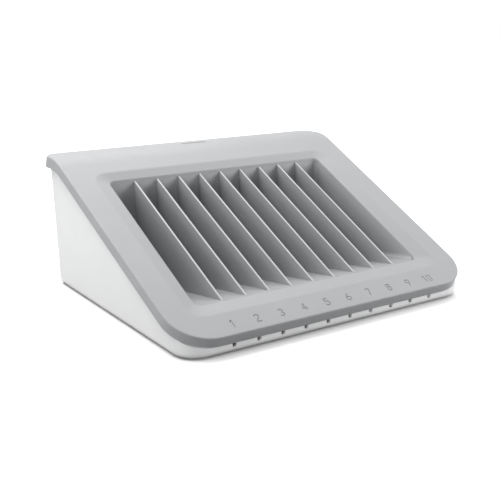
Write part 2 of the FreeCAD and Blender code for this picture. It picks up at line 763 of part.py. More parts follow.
def cable_comb():
    """Low rib behind the front wall that keeps each cable in line with its notch."""
    near = FRONT_OVERHANG + BASE_FRONT_WALL + COMB_SETBACK
    half = well_half
    return box(-half, half, near, near + COMB_WALL, floor_top - BASE_FLOOR / 2, floor_top + COMB_HEIGHT)


def cable_notches():
    """Notches through the front wall and the comb, one for each slot, a little to its left."""
    sill = base_bottom + NOTCH_SILL
    length = FRONT_OVERHANG + BASE_FRONT_WALL + COMB_SETBACK + COMB_WALL + 2 * OVERRUN
    cuts = []
    for x in slot_places():
        loop = rounded_loop(NOTCH_WIDTH / 2, sill, COVER_HEIGHT, NOTCH_ROUND, NOTCH_ROUND,
                            Vector(x - NOTCH_SHIFT, -OVERRUN, 0), UP)
        cuts.append(Part.Face(loop).extrude(BACK * length))
    return cuts


def vents():
    """Row of upright slots in the rear wall behind the charger."""
    low = charger_low + CHARGER_HEIGHT / 3
    cuts = []
    for k in range(VENT_COUNT):
        x = (k - (VENT_COUNT - 1) / 2) * VENT_PITCH - CHARGER_OFFSET
        cuts.append(box(x - VENT_WIDTH / 2, x + VENT_WIDTH / 2, rear_inside - OVERRUN, rear_face + OVERRUN,
                        low, low + VENT_HEIGHT))
    return cuts


def foot_spots():
    """Centres of the four feet on the table."""
    half = base_half(base_bottom) - FOOT_INSET
    near = FRONT_OVERHANG + FOOT_INSET
    far = rear_face - FOOT_INSET
    return [Vector(x, y, 0) for x in (-half, half) for y in (near, far)]


def foot_recesses():
    """Round recesses under the floor that locate the feet."""
    top = base_bottom + FOOT_RECESS
    return [rod(FOOT_RADIUS, spot - UP * OVERRUN, spot + UP * top) for spot in foot_spots()]


def make_feet():
    """Soft round feet that sit in the floor's recesses."""
    feet = []
    for spot in foot_spots():
        foot = rod(FOOT_RADIUS, spot, spot + UP * (base_bottom + FOOT_RECESS))
        feet.append(foot.makeFillet(FOOT_ROUND, low_edges(foot, 0)[:1]))
    return feet


def ear_spots():
    """Centres of the charger's four fixing screws, at the level of its underside."""
    spots = []
    for end in (-1, 1):
        x = end * (CHARGER_WIDTH / 2 + EAR_LENGTH / 2) - CHARGER_OFFSET
        for way in (-1, 1):
            spots.append(Vector(x, charger_y + way * EAR_SPREAD, charger_low))
    return spots


def charger_bosses():
    """Bosses on the base's floor that lift the charger."""
    return [rod(EAR_BOSS_RADIUS, spot - UP * (CHARGER_LIFT + BASE_FLOOR / 2), spot) for spot in ear_spots()]


def charger_pilots():
    """Blind holes in the bosses for the charger's screws."""
    return [rod(SCREW_RADIUS, spot - UP * SCREW_BITE, spot + UP * OVERRUN) for spot in ear_spots()]


def charger_box(inset, low, high):
    """Upright block with the charger's rounded plan, moved in from its outer face."""
    corner = max(CHARGER_ROUND - inset, CHARGER_ROUND / 4)
    block = plan_block(CHARGER_WIDTH / 2 - inset, charger_y - CHARGER_DEPTH / 2 + inset,
                       charger_y + CHARGER_DEPTH / 2 - inset, corner, corner, low, high)
    block.translate(ACROSS * -CHARGER_OFFSET)
    return block


def port_spots():
    """Centres of the charging ports on the charger's top."""
    pitch = (CHARGER_WIDTH - 2 * PORT_MARGIN) / SLOT_COUNT
    return [Vector((k - (SLOT_COUNT - 1) / 2) * pitch - CHARGER_OFFSET, charger_y, charger_top)
            for k in range(SLOT_COUNT)]


board_top = charger_top + PORT_PROUD - PORT_HEIGHT
board_low = board_top - BOARD_WALL


def post_spots():
    """Centres of the posts that carry the board."""
    half = CHARGER_WIDTH / 2 - CHARGER_WALL - POST_INSET
    deep = CHARGER_DEPTH / 2 - CHARGER_WALL - POST_INSET
    return [Vector(x * half - CHARGER_OFFSET, charger_y + y * deep, 0) for x in (-1, 1) for y in (-1, 1)]


def make_charger_case():
    """Open box with screw ears at both ends and posts for the board."""
    rim = charger_top - CHARGER_LID
    hollow = charger_box(CHARGER_WALL, charger_low + CHARGER_WALL, rim + OVERRUN)
    added = []
    for spot in ear_spots():
        added.append(box(spot.x - EAR_LENGTH / 2, spot.x + EAR_LENGTH / 2, spot.y - EAR_WIDTH / 2,
                         spot.y + EAR_WIDTH / 2, charger_low, charger_low + EAR_WALL))
    for spot in post_spots():
        added.append(rod(POST_RADIUS, spot + UP * (charger_low + CHARGER_WALL / 2), spot + UP * board_low))
    case = charger_box(0, charger_low, rim).cut(hollow).fuse(added)
    through = UP * (EAR_WALL + OVERRUN)
    holes = [rod(SCREW_RADIUS, spot - UP * OVERRUN, spot + through) for spot in ear_spots()]
    return case.cut(holes).removeSplitter()


def make_charger_lid():
    """Top plate of the charger with one opening for each port."""
    lid = charger_box(0, charger_top - CHARGER_LID, charger_top)
    holes = []
    for spot in port_spots():
        half = PORT_WIDTH / 2 + PORT_GAP
        deep = PORT_LENGTH / 2 + PORT_GAP
        holes.append(box(spot.x - half, spot.x + half, spot.y - deep, spot.y + deep,
                         spot.z - CHARGER_LID - OVERRUN, spot.z + OVERRUN))
    return lid.cut(holes)


def make_charger_board():
    """Circuit board that lies on the posts and carries the ports."""
    return charger_box(CHARGER_WALL + BOARD_GAP, board_low, board_top)


def make_usb_ports():
    """Upright sockets, each a shell with a tongue in its pocket."""
    ports = []
    for spot in port_spots():
        top = spot.z + PORT_PROUD
        wide = PORT_WIDTH / 2
        deep = PORT_LENGTH / 2
        shell = box(spot.x - wide, spot.x + wide, spot.y - deep, spot.y + deep, board_top, top)
        pocket = box(spot.x - wide + PORT_WALL, spot.x + wide - PORT_WALL, spot.y - deep + PORT_WALL,
                     spot.y + deep - PORT_WALL, top - PORT_POCKET, top + OVERRUN)
        tongue = box(spot.x - PORT_TONGUE / 2, spot.x + PORT_TONGUE / 2, spot.y - deep + 2 * PORT_WALL,
                     spot.y + deep - 2 * PORT_WALL, top - PORT_POCKET, top - PORT_TONGUE)
        ports.append(shell.cut(pocket).fuse(tongue))
    return ports


def make_transformer():
    """Wound transformer below the board: core block with a round bobbin."""
    half = TRANSFORMER_SIZE / 2
    x = TRANSFORMER_OFFSET - CHARGER_OFFSET
    low = board_low - TRANSFORMER_HEIGHT
    cheek = TRANSFORMER_HEIGHT / 4
    core = box(x - half, x + half, charger_y - half / 2, charger_y + half / 2, low, board_low)
    middle = Vector(x, charger_y, low + cheek)
    bobbin = rod(half * 4 / 5, middle, middle + UP * (TRANSFORMER_HEIGHT - 2 * cheek))
    return core.fuse(bobbin).removeSplitter()


def make_capacitors():
    """Round capacitors below the board."""
    parts = []
    for k in range(CAPACITOR_COUNT):
        x = (k - CAPACITOR_COUNT) * CAPACITOR_PITCH - CHARGER_OFFSET
        top = Vector(x, charger_y, board_low)
        parts.append(rod(CAPACITOR_RADIUS, top - UP * CAPACITOR_HEIGHT, top))
    return parts


def make_charger_screws():
    """Screws that hold the charger's ears to the base."""
    return [pan_screw(spot + UP * EAR_WALL, -UP, EAR_WALL + SCREW_BITE) for spot in ear_spots()]


def upright_plate(half, low, high, radius, near, far):
    """Plate parallel to the rear wall with round corners, at the inlet's place."""
    loop = rounded_loop(half, low, high, radius, radius, Vector(INLET_OFFSET, near, 0), UP)
    return Part.Face(loop).extrude(BACK * (far - near))


def inlet_screw_spots():
    """Centres of the two inlet screws on the bezel's face."""
    side = BEZEL_WIDTH / 2 + BEZEL_EAR / 2 - SCREW_RADIUS
    return [Vector(INLET_OFFSET + way * side, bezel_face, inlet_z) for way in (-1, 1)]


def inlet_cuts():
    """Cut-out in the rear wall for the inlet and the holes for its screws."""
    half = HOUSING_WIDTH / 2 + HOUSING_GAP
    high = HOUSING_HEIGHT / 2 + HOUSING_GAP
    cuts = [box(INLET_OFFSET - half, INLET_OFFSET + half, rear_inside - OVERRUN, rear_face + OVERRUN,
                inlet_z - high, inlet_z + high)]
    for spot in inlet_screw_spots():
        cuts.append(rod(SCREW_RADIUS, spot - BACK * (BEZEL_WALL + BASE_WALL + OVERRUN), spot))
    return cuts


def socket_outline(inset):
    """Corners of the inlet's socket: a block with two cut corners, as x and z."""
    half = SOCKET_WIDTH / 2 - inset
    high = SOCKET_HEIGHT / 2 - inset
    cut = SOCKET_CHAMFER - inset / 2
    spots = [(-half, -high), (half, -high), (half, high - cut), (half - cut, high), (cut - half, high),
             (-half, high - cut)]
    return [(INLET_OFFSET + x, socket_z + z) for x, z in spots]


def make_inlet_housing():
    """Inlet body with its bezel, the socket's hollow and the rocker's pocket."""
    high = BEZEL_HEIGHT / 2
    bezel = upright_plate(BEZEL_WIDTH / 2, inlet_z - high, inlet_z + high, BEZEL_ROUND,
                          rear_face, bezel_face)
    ears = upright_plate(BEZEL_WIDTH / 2 + BEZEL_EAR, inlet_z - BEZEL_EAR, inlet_z + BEZEL_EAR, BEZEL_ROUND,
                         rear_face, bezel_face)
    half = HOUSING_WIDTH / 2
    body = box(INLET_OFFSET - half, INLET_OFFSET + half, housing_back, rear_face,
               inlet_z - HOUSING_HEIGHT / 2, inlet_z + HOUSING_HEIGHT / 2)
    housing = bezel.fuse([ears, body])
    socket = closed_face([Vector(x, bezel_face - SOCKET_DEPTH, z) for x, z in socket_outline(0)])
    socket = socket.extrude(BACK * (SOCKET_DEPTH + OVERRUN))
    wide = ROCKER_WIDTH / 2 + ROCKER_GAP
    tall = ROCKER_HALF + ROCKER_END_GAP
    pocket = box(INLET_OFFSET - wide, INLET_OFFSET + wide, rocker_y - POCKET_BACK, bezel_face + OVERRUN,
                 rocker_z - tall, rocker_z + tall)
    reach = wide + TRUNNION_REACH
    bearing = rod(TRUNNION_RADIUS + TRUNNION_PLAY, Vector(INLET_OFFSET - reach, rocker_y, rocker_z),
                  Vector(INLET_OFFSET + reach, rocker_y, rocker_z))
    holes = [rod(SCREW_RADIUS, spot - BACK * OVERRUN, spot + BACK * OVERRUN) for spot in inlet_screw_spots()]
    return housing.cut([socket, pocket, bearing] + holes).removeSplitter()


def make_inlet_blades():
    """Three contact blades that stand on the socket's back."""
    root = bezel_face - SOCKET_DEPTH
    blades = []
    wide = BLADE_WIDTH / 2
    tall = BLADE_HEIGHT / 2
    for x, z in ((-BLADE_SPREAD, -BLADE_RISE), (BLADE_SPREAD, -BLADE_RISE), (0, BLADE_RISE)):
        middle = Vector(INLET_OFFSET + x, root, socket_z + z)
        blades.append(box(middle.x - wide, middle.x + wide, root, root + BLADE_LENGTH,
                          middle.z - tall, middle.z + tall))
    return blades


def make_inlet_screws():
    """Two screws that hold the bezel to the rear wall."""
    return [pan_screw(spot, -BACK, BEZEL_WALL + BASE_WALL) for spot in inlet_screw_spots()]


def make_rocker():
    """Rocker key on its trunnions, resting with its lower end pressed in."""
    outline = [(ROCKER_REACH, -ROCKER_HALF), (ROCKER_REACH - ROCKER_HOLLOW, 0), (ROCKER_REACH, ROCKER_HALF),
               (0, ROCKER_HALF), (-ROCKER_TAIL, ROCKER_TAIL_HALF), (-ROCKER_TAIL, -ROCKER_TAIL_HALF),
               (0, -ROCKER_HALF)]
    key = side_prism(outline, ROCKER_WIDTH / 2)
    reach = ROCKER_WIDTH / 2 + ROCKER_GAP + TRUNNION_REACH - TRUNNION_PLAY
    pivot = rod(TRUNNION_RADIUS, ACROSS * -reach, ACROSS * reach)
    key = key.fuse(pivot)
    key.rotate(Vector(0, 0, 0), ACROSS, -ROCKER_TILT)
    key.translate(Vector(INLET_OFFSET, rocker_y, rocker_z))
    return key


def make_inlet_lead():
    """Sheathed lead from the back of the inlet round to the charger's end."""
    radius = housing_back - lead_y
    turn = Vector(INLET_OFFSET - radius, housing_back, inlet_z)
    start = Vector(INLET_OFFSET, housing_back, inlet_z)
    end = Vector(turn.x, lead_y, inlet_z)
    middle = turn + Vector(math.cos(math.pi / 4), -math.sin(math.pi / 4), 0) * radius
    bend = Part.Arc(start, middle, end).toShape()
    run = Part.LineSegment(end, Vector(charger_end, lead_y, inlet_z)).toShape()
    path = Part.Wire([bend, run])
    ring = Part.Wire([Part.Circle(start, -BACK, LEAD_RADIUS).toShape()])
    return path.makePipeShell([ring], True, False)


def save(name, shape):
    """Move a piece to the middle of the depth and write it."""
    whole = Part.makeCompound(shape) if isinstance(shape, list) else shape
    whole.translate(BACK * -middle_y)
    whole.exportStep("parts/" + name + ".step")
    print(name, len(whole.Solids), round(whole.Volume, 1), whole.isValid())


os.makedirs("parts", exist_ok=True)
save("base_shell", make_base_shell())
save("feet", make_feet())
save("hinge_pins", make_hinge_pins())
save("top_cover", make_top_cover())
save("slot_well", make_slot_well())
save("well_screws", make_well_screws())
for number, place in enumerate(divider_places(), 1):
    save("divider_" + str(number), make_divider(place))
save("charger_case", make_charger_case())
save("charger_lid", make_charger_lid())
save("charger_board", make_charger_board())
save("usb_ports", make_usb_ports())
save("transformer", make_transformer())
save("capacitors", make_capacitors())
save("charger_screws", make_charger_screws())
save("inlet_housing", make_inlet_housing())
save("inlet_blades", make_inlet_blades())
save("inlet_screws", make_inlet_screws())
save("inlet_lead", make_inlet_lead())
save("power_rocker", make_rocker())
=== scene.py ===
import json
import logging
import math
from dataclasses import dataclass, field
from enum import Enum

import bpy
from mathutils import Euler, Matrix, Vector


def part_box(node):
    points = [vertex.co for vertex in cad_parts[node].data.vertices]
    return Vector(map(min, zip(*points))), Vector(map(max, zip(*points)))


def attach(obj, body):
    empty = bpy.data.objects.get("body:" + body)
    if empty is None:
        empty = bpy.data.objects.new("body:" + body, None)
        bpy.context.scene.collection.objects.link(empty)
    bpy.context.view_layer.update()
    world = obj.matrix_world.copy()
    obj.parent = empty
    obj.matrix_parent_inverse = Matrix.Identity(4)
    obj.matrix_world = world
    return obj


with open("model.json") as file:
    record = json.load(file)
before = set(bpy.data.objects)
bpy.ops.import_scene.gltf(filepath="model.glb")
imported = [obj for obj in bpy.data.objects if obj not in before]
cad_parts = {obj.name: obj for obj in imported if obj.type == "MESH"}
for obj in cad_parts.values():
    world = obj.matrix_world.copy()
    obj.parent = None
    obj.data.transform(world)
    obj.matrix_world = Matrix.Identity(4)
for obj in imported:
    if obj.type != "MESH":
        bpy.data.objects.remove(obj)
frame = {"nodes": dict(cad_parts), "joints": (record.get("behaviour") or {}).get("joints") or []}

logger = logging.getLogger("charging_station")

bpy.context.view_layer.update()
MM = 0.001
Colour = tuple[float, float, float]
Point = tuple[float, float, float]
Span = tuple[float, float]
FULL: Span = (0.0, 1.0)
NOISE_BAND: Span = (0.3, 0.7)
WHITE: Colour = (1.0, 1.0, 1.0)


class Body(Enum):
    """Moving groups of the station."""

    BASE = "base"
    COVER = "cover"
    SWITCH = "power_switch"


class Lay(Enum):
    """Direction in which a metal was drawn or brushed, as stretch along x, y and z."""

    ACROSS = (1.0, 0.06, 1.0)
    UPRIGHT = (1.0, 1.0, 0.06)
    ROUND = (1.0, 1.0, 1.0)


class Detail(Enum):
    """Number of finer layers in a noise."""

    SMOOTH = 1.0
    PLAIN = 2.0
    FINE = 3.0
    RICH = 4.0
    DUSTY = 5.0


def scaled(colour: Colour, factor: float) -> Colour:
    """Multiply a colour, up to white."""
    return tuple(min(1.0, channel * factor) for channel in colour)


def darker(colour: Colour, share: float) -> Colour:
    """Take a share of a colour away."""
    return scaled(colour, 1.0 - share)


def paler(colour: Colour, share: float) -> Colour:
    """Move a colour towards white by a share."""
    return tuple(channel + (1.0 - channel) * share for channel in colour)


def around(value: float, spread: Span) -> Span:
    """Give the two ends of a spread about a value."""
    return value + spread[0], value + spread[1]


class NodeSheet:
    """A material's node tree, with short calls for the nodes that the finishes share."""

    EDGE_BAND: Span = (0.995, 0.80)

    def __init__(self, name: str) -> None:
        """Start a material that ends in one Principled shader.

        Args:
            name: name of the material.
        """
        self.material = bpy.data.materials.new(name)
        self.material.use_nodes = True
        self.tree = self.material.node_tree
        self.shader = self.tree.nodes["Principled BSDF"]
        self.coords = self.tree.nodes.new("ShaderNodeTexCoord")
        self.place = self.coords.outputs["Object"]

    def add(self, kind: str, **values: float) -> bpy.types.Node:
        """Add a node and set some of its inputs.

        Args:
            kind: Blender's name for the node.
            values: input names, with spaces as underscores, and their values.

        Returns:
            The new node.
        """
        node = self.tree.nodes.new(kind)
        for key, value in values.items():
            node.inputs[key.replace("_", " ")].default_value = value
        return node

    def link(self, start: bpy.types.NodeSocket, end: bpy.types.NodeSocket) -> None:
        """Join two sockets."""
        self.tree.links.new(start, end)

    def noise(self, size: float, detail: Detail,
              stretch: Point = Lay.ROUND.value) -> bpy.types.NodeSocket:
        """Noise whose blotches are about as large as a given size.

        Args:
            size: size of a blotch in metres.
            detail: number of finer layers.
            stretch: factors on the noise's frequency along x, y and z.

        Returns:
            The noise value's socket.
        """
        mapping = self.add("ShaderNodeMapping")
        mapping.inputs["Scale"].default_value = stretch
        self.link(self.place, mapping.inputs["Vector"])
        noise = self.add("ShaderNodeTexNoise", Scale=1.0 / size, Detail=detail.value)
        self.link(mapping.outputs["Vector"], noise.inputs["Vector"])
        return noise.outputs["Fac"]

    def span(self, value: bpy.types.NodeSocket, start: Span, end: Span) -> bpy.types.NodeSocket:
        """Map a value from one range to another and hold it there.

        Args:
            value: socket to read.
            start: lower and upper end of the range that is read.
            end: lower and upper end of the range that is given.

        Returns:
            The mapped value's socket.
        """
        node = self.add("ShaderNodeMapRange", From_Min=start[0], From_Max=start[1], To_Min=end[0],
                        To_Max=end[1])
        self.link(value, node.inputs["Value"])
        return node.outputs["Result"]

    def blend(self, share: bpy.types.NodeSocket, first: bpy.types.NodeSocket | Colour,
              second: Colour) -> bpy.types.NodeSocket:
        """Mix two colours.

        Args:
            share: socket with the share of the second colour.
            first: a colour, or the socket of one.
            second: the other colour.

        Returns:
            The mixed colour's socket.
        """
        node = self.add("ShaderNodeMix")
        node.data_type = "RGBA"
        start, end = [socket for socket in node.inputs if socket.type == "RGBA"]
        self.link(share, node.inputs["Factor"])
        if isinstance(first, bpy.types.NodeSocket):
            self.link(first, start)
        else:
            start.default_value = (*first, 1.0)
        end.default_value = (*second, 1.0)
        return [socket for socket in node.outputs if socket.type == "RGBA"][0]

    def product(self, first: bpy.types.NodeSocket, second: bpy.types.NodeSocket) -> bpy.types.NodeSocket:
        """Multiply two values.

        Args:
            first: socket of one value.
            second: socket of the other.

        Returns:
            The product's socket.
        """
        node = self.add("ShaderNodeMath")
        node.operation = "MULTIPLY"
        self.link(first, node.inputs[0])
        self.link(second, node.inputs[1])
        return node.outputs["Value"]

    def upward(self, start: Span) -> bpy.types.NodeSocket:
        """Find the faces that look up when the piece is at rest.

        Args:
            start: rise of the normal at which the mask starts and is full.

        Returns:
            Socket of a mask that is one on those faces.
        """
        parts = self.add("ShaderNodeSeparateXYZ")
        self.link(self.coords.outputs["Normal"], parts.inputs["Vector"])
        return self.span(parts.outputs["Z"], start, FULL)

    def edges(self, radius: float) -> tuple[bpy.types.NodeSocket, bpy.types.NodeSocket]:
        """Soften the edges of a piece and find where they are.

        Args:
            radius: radius of the softened edge in metres.

        Returns:
            Sockets of the softened normal and of a mask that is one at the edges.
        """
        bevel = self.add("ShaderNodeBevel", Radius=radius)
        surface = self.add("ShaderNodeNewGeometry")
        dot = self.add("ShaderNodeVectorMath")
        dot.operation = "DOT_PRODUCT"
        self.link(bevel.outputs["Normal"], dot.inputs[0])
        self.link(surface.outputs["Normal"], dot.inputs[1])
        mask = self.span(dot.outputs["Value"], self.EDGE_BAND, FULL)
        return bevel.outputs["Normal"], mask

    def bump(self, height: bpy.types.NodeSocket, depth: float,
             normal: bpy.types.NodeSocket | None) -> bpy.types.NodeSocket:
        """Raise the surface by a pattern.

        Args:
            height: socket of the pattern.
            depth: height of the pattern in metres.
            normal: socket of the normal below it, or None for the surface's own.

        Returns:
            The new normal's socket.
        """
        node = self.add("ShaderNodeBump", Strength=1.0, Distance=depth)
        self.link(height, node.inputs["Height"])
        if normal is not None:
            self.link(normal, node.inputs["Normal"])
        return node.outputs["Normal"]

    def tint(self, tone: bpy.types.NodeSocket) -> None:
        """Give the shader its colour."""
        self.link(tone, self.shader.inputs["Base Color"])

    def gloss(self, pattern: bpy.types.NodeSocket, start: Span, roughness: Span) -> None:
        """Vary the roughness with a pattern.

        Args:
            pattern: socket of the pattern.
            start: lower and upper end of the pattern that is read.
            roughness: roughness at those ends.
        """
        self.link(self.span(pattern, start, roughness), self.shader.inputs["Roughness"])

    def surface(self, normal: bpy.types.NodeSocket) -> None:
        """Give the shader its normal."""
        self.link(normal, self.shader.inputs["Normal"])


@dataclass(frozen=True)
class MouldedPlastic:
    """Satin or gloss moulded plastic with a fine spark-eroded grain."""

    name: str
    colour: Colour
    roughness: float = 0.42
    gloss_spread: Span = (-0.04, 0.05)
    grain: float = 0.55 * MM
    depth: float = 0.012 * MM
    mottle: float = 0.03
    wear: float = 0.10
    edge: float = 0.5 * MM
    specular: float = 0.45
    # Painted highlight: share by which faces that look up are made paler, as if lit from above; zero leaves
    # it out.
    painted_crest_highlight: float = 0.0
    painted_highlight_rise: Span = (0.35, 0.75)
    cloud: float = 45 * MM
    haze: float = 18 * MM
    rub: float = 6 * MM
    rub_band: Span = (0.35, 0.75)
    ripple: float = 30 * MM
    ripple_depth: float = 0.05 * MM
    fleck_share: float = 2.4
    fleck_band: Span = (0.35, 0.65)
    speck_band: Span = (0.55, 1.0)
    speck_cover: Span = (0.0, 0.5)
    speck_share: float = 0.6

    def material(self) -> bpy.types.Material:
        """Build the finish.

        Returns:
            Its material.
        """
        sheet = NodeSheet(self.name)
        normal, mask = sheet.edges(self.edge)
        sheet.tint(self.tone(sheet, mask))
        haze = sheet.noise(self.haze, Detail.RICH)
        sheet.gloss(haze, NOISE_BAND, around(self.roughness, self.gloss_spread))
        rippled = sheet.bump(sheet.noise(self.ripple, Detail.SMOOTH), self.ripple_depth, normal)
        sheet.surface(sheet.bump(sheet.noise(self.grain, Detail.PLAIN), self.depth, rippled))
        sheet.shader.inputs["Specular IOR Level"].default_value = self.specular
        return sheet.material

    def tone(self, sheet: NodeSheet, mask: bpy.types.NodeSocket) -> bpy.types.NodeSocket:
        """Mix the plastic's colour with its clouds, specks, rubbed edges and a painted highlight on its
        upward faces.

        Args:
            sheet: the finish's node tree.
            mask: socket that is one at the edges.

        Returns:
            The mixed colour's socket.
        """
        cloud = sheet.span(sheet.noise(self.cloud, Detail.FINE), NOISE_BAND, FULL)
        tone = sheet.blend(cloud, self.colour, darker(self.colour, self.mottle))
        fleck = sheet.span(sheet.noise(self.grain * self.fleck_share, Detail.PLAIN), self.fleck_band, FULL)
        speck = sheet.span(fleck, self.speck_band, self.speck_cover)
        tone = sheet.blend(speck, tone, darker(self.colour, self.mottle * self.speck_share))
        rubbed = sheet.span(sheet.noise(self.rub, Detail.FINE), self.rub_band, FULL)
        tone = sheet.blend(sheet.product(mask, rubbed), tone, paler(self.colour, self.wear))
        # Painted highlight: faces that look up are made paler, standing for light falling from above.
        if self.painted_crest_highlight > 0.0:
            tone = sheet.blend(sheet.upward(self.painted_highlight_rise), tone, paler(self.colour, self.painted_crest_highlight))
        return tone


@dataclass(frozen=True)
class DrawnMetal:
    """Metal with fine lines along the way it was drawn or brushed."""

    name: str
    colour: Colour
    roughness: float = 0.3
    gloss_spread: Span = (-0.08, 0.12)
    lay: Lay = Lay.ROUND
    streak: float = 0.5 * MM
    streak_depth: float = 0.006 * MM
    tarnish: float = 0.25
    spot: float = 5 * MM
    spot_band: Span = (0.45, 0.75)
    polish: float = 1.12
    edge: float = 0.25 * MM

    def material(self) -> bpy.types.Material:
        """Build the finish.

        Returns:
            Its material.
        """
        sheet = NodeSheet(self.name)
        normal, mask = sheet.edges(self.edge)
        spots = sheet.span(sheet.noise(self.spot, Detail.DUSTY), self.spot_band, FULL)
        tone = sheet.blend(spots, self.colour, darker(self.colour, self.tarnish))
        sheet.tint(sheet.blend(mask, tone, scaled(self.colour, self.polish)))
        lines = sheet.noise(self.streak, Detail.FINE, self.lay.value)
        sheet.gloss(lines, NOISE_BAND, around(self.roughness, self.gloss_spread))
        sheet.surface(sheet.bump(lines, self.streak_depth, normal))
        sheet.shader.inputs["Metallic"].default_value = 1.0
        return sheet.material


@dataclass(frozen=True)
class SoftRubber:
    """Matt rubber with a dusty bloom."""

    name: str
    colour: Colour
    roughness: float = 0.8
    gloss_spread: Span = (-0.1, 0.1)
    gloss_size: float = 3 * MM
    grain: float = 0.4 * MM
    depth: float = 0.03 * MM
    edge: float = 0.4 * MM
    bloom: float = 0.05
    bloom_size: float = 7 * MM
    bloom_band: Span = (0.4, 0.8)
    bloom_cover: Span = (0.0, 0.7)

    def material(self) -> bpy.types.Material:
        """Build the finish.

        Returns:
            Its material.
        """
        sheet = NodeSheet(self.name)
        dusty = tuple(channel + self.bloom for channel in self.colour)
        normal, mask = sheet.edges(self.edge)
        cloud = sheet.span(sheet.noise(self.bloom_size, Detail.RICH), self.bloom_band, self.bloom_cover)
        tone = sheet.blend(cloud, self.colour, dusty)
        sheet.tint(sheet.blend(mask, tone, dusty))
        shine = sheet.noise(self.gloss_size, Detail.FINE)
        sheet.gloss(shine, NOISE_BAND, around(self.roughness, self.gloss_spread))
        sheet.surface(sheet.bump(sheet.noise(self.grain, Detail.FINE), self.depth, normal))
        return sheet.material


@dataclass(frozen=True)
class CoatedBoard:
    """Circuit board: green lacquer over copper tracks."""

    name: str
    colour: Colour
    track: float = 2.2 * MM
    track_share: float = 0.4
    track_gap: float = 0.05
    track_band: Span = (0.2, 0.8)
    track_shine: float = 1.7
    track_depth: float = 0.04 * MM
    shadow: Colour = (0.01, 0.05, 0.02)
    shadow_size: float = 9 * MM
    shadow_band: Span = (0.35, 0.7)
    shadow_cover: Span = (0.0, 0.35)
    gloss_size: float = 2 * MM
    roughness: Span = (0.22, 0.36)

    def material(self) -> bpy.types.Material:
        """Build the finish.

        Returns:
            Its material.
        """
        sheet = NodeSheet(self.name)
        scale = self.track_share / self.track
        brick = sheet.add("ShaderNodeTexBrick", Scale=scale, Mortar_Size=self.track_gap)
        sheet.link(sheet.place, brick.inputs["Vector"])
        tracks = sheet.span(brick.outputs["Fac"], self.track_band, FULL)
        cloud = sheet.span(sheet.noise(self.shadow_size, Detail.FINE), self.shadow_band, self.shadow_cover)
        tone = sheet.blend(tracks, self.colour, scaled(self.colour, self.track_shine))
        sheet.tint(sheet.blend(cloud, tone, self.shadow))
        sheet.gloss(sheet.noise(self.gloss_size, Detail.PLAIN), NOISE_BAND, self.roughness)
        sheet.surface(sheet.bump(tracks, self.track_depth, None))
        return sheet.material


@dataclass(frozen=True)
class StampedCore:
    """Transformer core: stacked iron sheets with a dark varnish."""

    name: str
    colour: Colour
    sheet_wall: float = 0.5 * MM
    wave_share: float = 0.31
    wave_bend: float = 0.4
    seam_depth: float = 0.06 * MM
    varnish: float = 0.55
    varnish_size: float = 4 * MM
    varnish_band: Span = (0.35, 0.7)
    varnish_cover: Span = (0.0, 0.8)
    roughness: Span = (0.35, 0.6)
    metallic: float = 0.6

    def material(self) -> bpy.types.Material:
        """Build the finish.

        Returns:
            Its material.
        """
        sheet = NodeSheet(self.name)
        dark = darker(self.colour, self.varnish)
        scale = self.wave_share / self.sheet_wall
        wave = sheet.add("ShaderNodeTexWave", Scale=scale, Distortion=self.wave_bend)
        sheet.link(sheet.place, wave.inputs["Vector"])
        stain = sheet.noise(self.varnish_size, Detail.RICH)
        cloud = sheet.span(stain, self.varnish_band, self.varnish_cover)
        tone = sheet.blend(wave.outputs["Fac"], self.colour, dark)
        sheet.tint(sheet.blend(cloud, tone, dark))
        sheet.gloss(wave.outputs["Fac"], FULL, self.roughness)
        sheet.surface(sheet.bump(wave.outputs["Fac"], self.seam_depth, None))
        sheet.shader.inputs["Metallic"].default_value = self.metallic
        return sheet.material


COVER_GREY = MouldedPlastic("cover_grey", (0.386, 0.391, 0.400), roughness=0.48, specular=0.3)
# Painted shade: the well and the dividers are the cover's own grey plastic, made darker to stand for the
# shade inside the well.
SHADED_WELL_GREY = MouldedPlastic("well_grey", (0.350, 0.354, 0.362), roughness=0.48)
SHADED_DIVIDER_GREY = MouldedPlastic("divider_grey", (0.315, 0.319, 0.326), roughness=0.46, painted_crest_highlight=0.26)
BASE_WHITE = MouldedPlastic("base_white", (0.86, 0.865, 0.87), roughness=0.4, mottle=0.02, wear=0.2)
CHARGER_BLACK = MouldedPlastic("charger_black", (0.014, 0.015, 0.017), roughness=0.5, grain=0.9 * MM,
                               depth=0.04 * MM, mottle=0.2, wear=0.05)
INLET_BLACK = MouldedPlastic("inlet_black", (0.010, 0.010, 0.011), roughness=0.28, mottle=0.2, wear=0.05)
ROCKER_BLACK = MouldedPlastic("rocker_black", (0.011, 0.011, 0.012), roughness=0.2, mottle=0.2, wear=0.06)
MARK_WHITE = MouldedPlastic("mark_white", (0.75, 0.75, 0.73), roughness=0.5, mottle=0.06, edge=0.1 * MM)
FOOT_RUBBER = SoftRubber("foot_rubber", (0.013, 0.013, 0.014))
LEAD_RUBBER = SoftRubber("lead_rubber", (0.016, 0.016, 0.017), roughness=0.6)
ZINC_STEEL = DrawnMetal("zinc_steel", (0.62, 0.63, 0.65), roughness=0.34)
PORT_METAL = DrawnMetal("port_metal", (0.70, 0.71, 0.72), roughness=0.24, lay=Lay.UPRIGHT)
CONTACT_BRASS = DrawnMetal("contact_brass", (0.72, 0.53, 0.22), roughness=0.28, lay=Lay.ACROSS)
CONTACT_GOLD = DrawnMetal("contact_gold", (0.86, 0.62, 0.25), roughness=0.22, lay=Lay.UPRIGHT, tarnish=0.12)
CAN_ALUMINIUM = DrawnMetal("can_aluminium", (0.66, 0.67, 0.69), roughness=0.36, lay=Lay.UPRIGHT)
BOARD_GREEN = CoatedBoard("board_green", (0.015, 0.105, 0.035))
CORE_IRON = StampedCore("core_iron", (0.22, 0.20, 0.18))

Finish = MouldedPlastic | DrawnMetal | SoftRubber | CoatedBoard | StampedCore


